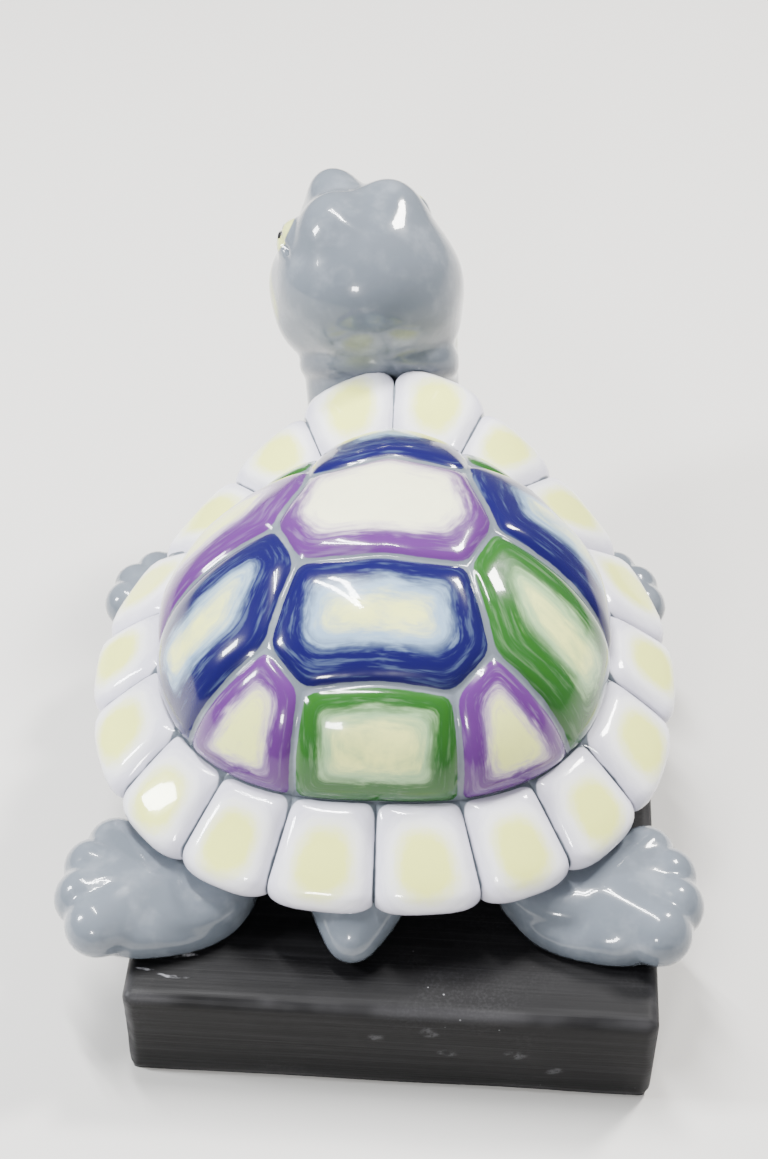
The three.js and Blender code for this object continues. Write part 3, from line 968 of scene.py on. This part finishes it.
def throat_paint(places):
    """1 where the skin is brushed yellow-green: under the jaw and down the throat."""
    local = (places - HEAD) @ FACE
    jaw = smooth_step(*THROAT["jaw_up"], local[:, 2])
    jaw = jaw * smooth_step(*THROAT["jaw_forward"], local[:, 1])
    forward = places[:, 1] + THROAT["slant"] * (places[:, 0] - HEAD[0])
    neck = smooth_step(*THROAT["neck_forward"], forward)
    neck = neck * smooth_step(*THROAT["neck_top"], places[:, 2])
    neck = neck * smooth_step(*THROAT["neck_foot"], places[:, 2])
    return np.clip(jaw + neck, 0, 1)


def eye_distance(places):
    """Millimetres over the eyeball from the middle of the nearer pupil."""
    distance = np.full(len(places), 99.0)
    right, forward, up = EYE["gaze"]
    for side in (1, -1):
        gaze = FACE @ np.array([side * right, forward, up])
        offset = places - eye_place(side)
        length = np.linalg.norm(offset, axis=1)
        turn = np.arccos(np.clip(offset @ gaze / np.maximum(length, 1e-6), -1, 1))
        nearer = np.minimum(distance, turn * EYE["radius"])
        distance = np.where(length < EYE["painted_to"], nearer, distance)
    return distance


SHARP_FROM = math.radians(50)


def make_turtle():
    shell = build_shell()
    shell_points = np.concatenate(shell.points)
    shell_piece = mesh_object("shell", shell_points, faces_outwards(shell_points, shell.faces))
    skin_points, skin_faces = build_skin()
    skin_faces = faces_outwards(skin_points, skin_faces.tolist())
    skin_piece = mesh_object("skin", skin_points, skin_faces)
    turtle = united(shell_piece, skin_piece, "glazed_turtle")
    paint_turtle(turtle, shell)
    turtle.data.shade_smooth()
    turtle.data.set_sharp_from_angle(angle=SHARP_FROM)

    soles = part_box("turtle")[0].z
    move = Matrix.Translation((STANCE["right"] * MM, STANCE["forward"] * MM, soles))
    turtle.data.transform(move @ Matrix.Rotation(STANCE["turn"], 4, "Z"))
    turtle.data.materials.clear()
    turtle.data.materials.append(glaze_material())
    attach(turtle, "root")
    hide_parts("turtle")


# ---------------- the wooden block

# The block's rounded edges and mesh in mm, how much the rounding varies, and how deep the
# plane's marks are.
BLOCK = {"edge": 5.0, "cell": 2.4, "edge_varies": 0.16, "planing": 0.12}


def make_block():
    low, high = [np.array(corner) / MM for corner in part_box("wooden_block")]
    centre = (low + high) / 2
    half = (high - low) / 2
    edge = BLOCK["edge"]
    points = {}
    faces = []

    def ticks(size):
        rounding = edge * np.array([0, 0.25, 0.5, 0.75])
        flat = np.linspace(edge, 2 * size - edge, max(2, int(2 * (size - edge) / BLOCK["cell"])))
        return np.concatenate([rounding, flat, 2 * size - rounding[::-1]]) - size

    grids = [ticks(size) for size in half]

    def index(i, j, k):
        key = (i, j, k)
        if key not in points:
            points[key] = len(points)
        return points[key]

    for axis in range(3):
        a, b = [other for other in range(3) if other != axis]
        for end in (0, len(grids[axis]) - 1):
            for m in range(len(grids[a]) - 1):
                for n in range(len(grids[b]) - 1):
                    ring = []
                    for da, db in ((0, 0), (1, 0), (1, 1), (0, 1)):
                        key = [0, 0, 0]
                        key[axis], key[a], key[b] = end, m + da, n + db
                        ring.append(index(*key))
                    faces.append(ring if (end > 0) == (axis != 1) else ring[::-1])

    raw = np.array([[grids[axis][key[axis]] for axis in range(3)] for key in points])
    # Rounds the edges: a point in the last few millimetres is drawn onto a small arc.
    ease = edge * (1 + BLOCK["edge_varies"] * unevenness(raw, 55, 21))
    core = np.clip(raw, -(half - ease[:, None]), half - ease[:, None])
    out = raw - core
    length = np.linalg.norm(out, axis=1)
    outwards = np.where(length[:, None] > 0, out / np.maximum(length, 1e-9)[:, None], 0)
    placed = core + outwards * ease[:, None]
    # Planing marks and small knocks are pushed in, never out.
    wave = BLOCK["planing"] * (unevenness(placed, 60, 31) - 1.6)
    knocks = knock_depth(placed, half)
    placed = placed + outwards * (np.minimum(wave, 0) - knocks)[:, None]
    placed[:, 2] = np.clip(placed[:, 2], -half[2], half[2])
    sole = raw[:, 2] <= -half[2] + 1e-6
    placed[sole, 2] = -half[2]

    block = mesh_object("black_wooden_block", placed + centre, faces)
    block.data.shade_smooth()
    block.data.materials.clear()
    block.data.materials.append(stained_wood_material(half * MM, centre * MM))
    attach(block, "root")
    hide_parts("wooden_block")


# How many knocks there are down the left rear corner and round the top.
KNOCKS = {"corner": 9, "top": 14}


def knock_depth(points, half):
    """Small dents down the left rear corner and round the top edges, in millimetres."""
    rng = np.random.default_rng(17)
    depth = np.zeros(len(points))
    left_rear = np.array([-half[0], -half[1], 0])
    for _ in range(KNOCKS["corner"]):
        inwards = [rng.uniform(0, 1.5), rng.uniform(0, 1.5), rng.uniform(-0.8, 0.8) * half[2]]
        place = left_rear + inwards
        away = np.linalg.norm((points - place) / [3, 3, 2.2], axis=1)
        depth += rng.uniform(0.3, 0.7) * smooth_step(1.6, 0, away)
    for _ in range(KNOCKS["top"]):
        along = rng.uniform(-0.95, 0.95)
        side = rng.choice([-1, 1])
        if rng.random() < 0.5:
            place = np.array([along * half[0], side * half[1], half[2]])
        else:
            place = np.array([side * half[0], along * half[1], half[2]])
        away = np.linalg.norm((points - place) / [4, 4, 3], axis=1)
        depth += rng.uniform(0.2, 0.5) * smooth_step(1.6, 0, away)
    return depth


# ---------------- material helpers


class Nodes:
    """A short way to write the node tree of a material or of the world."""

    def __init__(self, owner):
        owner.use_nodes = True
        self.tree = owner.node_tree

    def put(self, node, socket, value):
        target = node.inputs[socket]
        if isinstance(value, bpy.types.NodeSocket):
            self.tree.links.new(value, target)
        else:
            target.default_value = (*value, 1) if target.type == "RGBA" else value

    def add(self, kind, output, inputs, **settings):
        """Makes a node and gives back one of its outputs."""
        node = self.tree.nodes.new("ShaderNode" + kind)
        for name, value in settings.items():
            setattr(node, name, value)
        for socket, value in inputs.items():
            self.put(node, socket, value)
        return node.outputs[output]

    def attribute(self, name, output="Fac"):
        return self.add("Attribute", output, {}, attribute_name=name)

    def position(self):
        return self.add("TexCoord", "Object", {})

    def mapping(self, vector, scale):
        return self.add("Mapping", "Vector", {"Vector": vector, "Scale": scale})

    def noise(self, vector, scale, detail=2.0, roughness=0.5):
        inputs = {"Vector": vector, "Scale": scale, "Detail": detail, "Roughness": roughness}
        return self.add("TexNoise", "Fac", inputs)

    def voronoi(self, vector, scale):
        return self.add("TexVoronoi", "Distance", {"Vector": vector, "Scale": scale})

    def math(self, operation, a, b=0.0, c=0.0):
        return self.add("Math", "Value", {0: a, 1: b, 2: c}, operation=operation)

    def times(self, a, b):
        return self.math("MULTIPLY", a, b)

    def take_away(self, vector, other):
        return self.add("VectorMath", "Vector", {0: vector, 1: other}, operation="SUBTRACT")

    def ramp(self, value, low, high, start=0.0, end=1.0):
        """Goes smoothly from start at low to end at high. Low may be the larger."""
        inputs = {"Value": value, "From Min": low, "From Max": high, "To Min": start, "To Max": end}
        return self.add("MapRange", "Result", inputs, interpolation_type="SMOOTHSTEP")

    def mix(self, share, first, second):
        return self.add("Mix", 2, {0: share, 6: first, 7: second}, data_type="RGBA")

    def split(self, vector):
        node = self.tree.nodes.new("ShaderNodeSeparateXYZ")
        self.put(node, "Vector", vector)
        return node.outputs["X"], node.outputs["Y"], node.outputs["Z"]

    def bump(self, height, distance, strength):
        inputs = {"Height": height, "Distance": distance, "Strength": strength}
        return self.add("Bump", "Normal", inputs)

    def finish(self, shader, values):
        """Sets the inputs of the shader that the tree ends in."""
        for name, value in values.items():
            self.put(self.tree.nodes[shader], name, value)


# ---------------- the turtle's glaze


def glaze_material():
    material = bpy.data.materials.new("painted_glaze")
    nodes = Nodes(material)
    place = nodes.position()
    seam = nodes.attribute("seam")
    stroke = nodes.attribute("stroke", "Vector")
    reach = nodes.attribute("reach", "Vector")
    edge_at, heart_at, boldness = nodes.split(reach)
    _, _, outwards = nodes.split(stroke)

    # Brush strokes run round the middle of each field, so the noise is fine from the
    # middle outwards and long the other way.
    brushed = nodes.mapping(stroke, (1.6, 1.6, 9.0))
    strokes = nodes.noise(brushed, 1.0, 3.0, 0.6)
    blots = nodes.noise(place, 70.0, 3.0, 0.55)
    soft_blots = nodes.noise(place, 24.0, 2.0, 0.5)
    push = nodes.math("MULTIPLY_ADD", strokes, 0.46, -0.23)
    push = nodes.math("MULTIPLY_ADD", blots, 0.2, push)
    push = nodes.math("SUBTRACT", push, 0.1)
    worked = nodes.math("MULTIPLY_ADD", push, boldness, outwards)

    edge_low = nodes.math("SUBTRACT", edge_at, 0.24)
    edge_high = nodes.math("ADD", edge_at, 0.06)
    edge_share = nodes.ramp(worked, edge_low, edge_high)
    thin = nodes.times(nodes.ramp(strokes, 0.5, 0.72, 0.0, 0.2), boldness)
    edge_share = nodes.math("MAXIMUM", nodes.math("SUBTRACT", edge_share, thin), 0.0)
    heart_low = nodes.math("SUBTRACT", heart_at, 0.22)
    heart_high = nodes.math("ADD", heart_at, 0.16)
    heart_share = nodes.ramp(worked, heart_low, heart_high, 1.0, 0.0)

    edge_paint = nodes.attribute("edge_paint", "Color")
    tint_paint = nodes.attribute("tint_paint", "Color")
    heart_paint = nodes.attribute("heart_paint", "Color")
    field = nodes.mix(edge_share, tint_paint, edge_paint)
    field = nodes.mix(heart_share, field, heart_paint)
    streaked = nodes.times(nodes.ramp(strokes, 0.35, 0.7, 0.0, 0.3), boldness)
    streaked = nodes.times(streaked, nodes.math("MULTIPLY_ADD", edge_share, 0.8, 0.2))
    field = nodes.mix(streaked, field, nodes.mix(0.5, field, STREAK))

    darker_grey = tuple(channel * 0.9 for channel in GREY)
    skin = nodes.mix(nodes.ramp(soft_blots, 0.3, 0.7), darker_grey, GREY)
    skin = nodes.mix(nodes.ramp(blots, 0.45, 0.8, 0.0, 0.25), skin, PALE_GREY)
    olive = nodes.mix(nodes.ramp(soft_blots, 0.35, 0.65), OLIVE, PALE_OLIVE)
    throat = nodes.math("SUBTRACT", nodes.attribute("throat"), 0.25)
    throat = nodes.math("MULTIPLY_ADD", blots, 0.5, throat)
    skin = nodes.mix(nodes.ramp(throat, 0.3, 0.75), skin, olive)

    eye = nodes.attribute("eye")
    skin = nodes.mix(nodes.ramp(eye, *EYE["ball"]), skin, EYE_YELLOW)
    skin = nodes.mix(nodes.ramp(eye, *EYE["pupil"]), skin, PUPIL_BLACK)

    # The painter's hand wavers along the seams.
    waver = nodes.math("MULTIPLY_ADD", nodes.noise(place, 110.0, 2.0), 1.1, -0.55)
    from_seam = nodes.math("ADD", seam, waver)
    painted = nodes.ramp(from_seam, 1.05, 1.6)
    colour = nodes.mix(painted, skin, field)

    roughness = nodes.ramp(soft_blots, 0.3, 0.7, 0.16, 0.24)
    ripple = nodes.noise(place, 60.0, 2.0)
    nodes.finish("Principled BSDF", {
        "Base Color": colour,
        "Roughness": roughness,
        "Normal": nodes.bump(ripple, 0.0004, 0.6),
        "Specular IOR Level": 0.15,
        "Coat Weight": 1.0,
        "Coat Roughness": 0.04,
        "Coat IOR": 1.38,
    })
    return material


# ---------------- the block's stain


# The stain's colours, and how far in from the edges the painted highlight reaches, in metres.
STAIN = {
    "deep": (0.003, 0.0029, 0.0033),
    "thin": (0.0055, 0.0053, 0.0060),
    "grain": (0.015, 0.0147, 0.016),
    "lines": (0.018, 0.0177, 0.019),
    # The colour of the painted highlight along the eased edges.
    "painted_edge_highlight": (0.06, 0.0585, 0.062),
    "painted_edge_width": 0.0075,
    "speck": (0.4, 0.4, 0.42),
    "haze": (0.16, 0.16, 0.17),
    "scuff": (0.42, 0.42, 0.45),
}


def stained_wood_material(half, centre):
    material = bpy.data.materials.new("black_stained_wood")
    nodes = Nodes(material)
    place = nodes.take_away(nodes.position(), tuple(centre))
    x, y, z = nodes.split(place)

    lines = nodes.noise(nodes.mapping(place, (6.0, 900.0, 900.0)), 1.0, 2.0, 0.6)
    grain = nodes.noise(nodes.mapping(place, (9.0, 160.0, 160.0)), 1.0, 4.0, 0.6)
    broad = nodes.noise(nodes.mapping(place, (5.0, 18.0, 18.0)), 1.0, 3.0)
    cloud = nodes.noise(place, 22.0, 3.0)
    fine = nodes.noise(place, 900.0, 2.0)

    black = nodes.mix(nodes.ramp(broad, 0.3, 0.7), STAIN["deep"], STAIN["thin"])
    black = nodes.mix(nodes.ramp(grain, 0.45, 0.75, 0.0, 0.4), black, STAIN["grain"])
    black = nodes.mix(nodes.ramp(lines, 0.5, 0.75, 0.0, 0.4), black, STAIN["lines"])

    # A painted highlight: the stain is drawn paler along the eased edges, where light would catch them.
    edges = []
    for value, size in ((x, half[0]), (y, half[1]), (z, half[2])):
        inset = nodes.math("SUBTRACT", float(size), nodes.math("ABSOLUTE", value))
        edges.append(nodes.ramp(inset, 0.0, STAIN["painted_edge_width"], 1.0, 0.0))
    pairs = [nodes.times(edges[i], edges[j]) for i, j in ((0, 1), (1, 2), (0, 2))]
    painted_edge_highlight = nodes.math("MAXIMUM", nodes.math("MAXIMUM", pairs[0], pairs[1]), pairs[2])
    painted_edge_highlight = nodes.times(painted_edge_highlight, nodes.ramp(cloud, 0.35, 0.65, 0.25, 1.0))
    # Mixes in the painted highlight along the edges.
    black = nodes.mix(nodes.ramp(painted_edge_highlight, 0.1, 0.9, 0.0, 0.5), black, STAIN["painted_edge_highlight"])

    # Pale dust, specks and a few scuffs where feet and fingers have been.
    specks = nodes.voronoi(place, 120.0)
    dusty = nodes.ramp(cloud, 0.56, 0.66)
    speck = nodes.times(nodes.ramp(specks, 0.035, 0.06, 1.0, 0.0), dusty)
    black = nodes.mix(nodes.times(speck, 0.5), black, STAIN["speck"])
    haze = nodes.times(nodes.ramp(cloud, 0.5, 0.72), nodes.ramp(fine, 0.4, 0.7))
    black = nodes.mix(nodes.times(haze, 0.04), black, STAIN["haze"])
    scuffs = scuff_mask(nodes, x, y, z, half, fine)
    black = nodes.mix(nodes.times(scuffs, 0.6), black, STAIN["scuff"])

    height = nodes.math("MULTIPLY_ADD", lines, 0.7, nodes.times(grain, 0.5))
    nodes.finish("Principled BSDF", {
        "Base Color": black,
        "Specular IOR Level": 0.14,
        "Roughness": nodes.ramp(broad, 0.3, 0.7, 0.45, 0.6),
        "Normal": nodes.bump(height, 0.0003, 0.5),
    })
    return material


# Pale marks near the rear edge, in metres: how far along from the left end, how far
# from the rear top edge, and their half length and half width. The first are on top.
TOP_MARKS = [
    (0.018, 0.030, 0.0070, 0.0016),
    (0.024, 0.022, 0.0055, 0.0011),
    (0.008, 0.015, 0.0045, 0.0008),
    (0.020, 0.013, 0.0075, 0.0008),
]
REAR_MARKS = [
    (0.103, 0.017, 0.0040, 0.0030),
    (0.125, 0.012, 0.0055, 0.0040),
    (0.132, 0.026, 0.0050, 0.0028),
    (0.160, 0.024, 0.0060, 0.0030),
    (0.176, 0.034, 0.0045, 0.0020),
]


def scuff_mask(nodes, x, y, z, half, fine):
    """Where something pale has rubbed off on the top and on the rear face."""
    from_left = nodes.math("ADD", x, float(half[0]))
    from_rear = nodes.math("ADD", y, float(half[1]))
    below_top = nodes.math("SUBTRACT", float(half[2]), z)
    bend = nodes.math("MULTIPLY_ADD", nodes.noise(nodes.position(), 60.0, 2.0), 0.008, -0.004)
    faces = (
        (TOP_MARKS, from_rear, nodes.ramp(below_top, 0.001, 0.002, 1.0, 0.0), 1.0),
        (REAR_MARKS, below_top, nodes.ramp(from_rear, 0.001, 0.002, 1.0, 0.0), 0.16),
    )
    total = None
    for marks, other, here, strength in faces:
        bent = nodes.math("ADD", other, bend)
        for across, along, half_length, half_width in marks:
            dx = nodes.math("DIVIDE", nodes.math("SUBTRACT", from_left, across), half_length)
            dy = nodes.math("DIVIDE", nodes.math("SUBTRACT", bent, along), half_width)
            away = nodes.math("ADD", nodes.times(dx, dx), nodes.times(dy, dy))
            mark = nodes.times(nodes.ramp(away, 0.1, 1.0, strength, 0.0), here)
            total = mark if total is None else nodes.math("MAXIMUM", total, mark)
    broken = nodes.ramp(nodes.noise(nodes.position(), 260.0, 3.0), 0.35, 0.65)
    return nodes.times(nodes.times(total, broken), nodes.ramp(fine, 0.2, 0.55))


# ---------------- the studio


# The floor's size is in mm, and the lights' places and sizes are in metres.
FLOOR = {"half_size": 4000, "colour": (0.60, 0.585, 0.56), "roughness": 0.6}


def make_floor():
    size = FLOOR["half_size"]
    corners = [(-size, -size, 0), (size, -size, 0), (size, size, 0), (-size, size, 0)]
    floor = mesh_object("floor", corners, [(0, 1, 2, 3)])
    material = bpy.data.materials.new("pale_floor")
    looks = {"Base Color": FLOOR["colour"], "Roughness": FLOOR["roughness"]}
    Nodes(material).finish("Principled BSDF", looks)
    floor.data.materials.append(material)


# Each lamp's place, its width and height, its power and its colour.
LAMPS = {
    "right_window": ((0.9, 0.9, 1.7), (0.32, 0.38), 74, (1.0, 0.98, 0.95)),
    "left_window": ((-1.5, -0.1, 1.1), (0.25, 0.42), 50, (0.94, 0.97, 1.0)),
    "rear_window": ((-0.3, -1.6, 1.0), (0.24, 0.2), 21, (1, 1, 1)),
    "left_strip": ((-0.41, 0.45, 1.9), (0.05, 0.9), 34, (1, 1, 1)),
    "right_strip": ((-0.29, 0.45, 1.9), (0.05, 0.9), 34, (1, 1, 1)),
}


def area_light(name, target, location, size, power, colour):
    data = bpy.data.lights.new(name, "AREA")
    data.shape = "RECTANGLE"
    data.size, data.size_y = size
    data.energy = power
    data.color = colour
    light = add_object(name, data)
    light.location = location
    light.rotation_euler = (target - Vector(location)).to_track_quat("-Z", "Y").to_euler()


SKY = {"horizon": 0.42, "zenith": 0.56, "colour": (0.88, 0.90, 0.93)}


def make_lights():
    middle = (cad_box[0] + cad_box[1]) / 2
    for name, settings in LAMPS.items():
        area_light(name, middle, *settings)
    world = bpy.data.worlds.new("studio")
    nodes = Nodes(world)
    _, _, up = nodes.split(nodes.add("TexCoord", "Generated", {}))
    strength = nodes.ramp(up, -0.1, 1.0, SKY["horizon"], SKY["zenith"])
    nodes.finish("Background", {"Color": SKY["colour"], "Strength": strength})
    bpy.context.scene.world = world


# Looking down on the turtle from behind: how far it is tipped up from straight down, and
# how far it is turned to the left.
CAMERA = {
    "lens": 63.77,
    "location": (0.0301, -0.6120, 0.7323),
    "tipped": math.radians(47),
    "turned": math.radians(3.8),
}


def make_camera():
    data = bpy.data.cameras.new("camera")
    data.lens = CAMERA["lens"]
    camera = add_object("camera", data)
    camera.location = CAMERA["location"]
    camera.rotation_euler = (CAMERA["tipped"], 0, CAMERA["turned"])
    bpy.context.scene.camera = camera


make_camera()
make_lights()
make_floor()
make_turtle()
make_block()
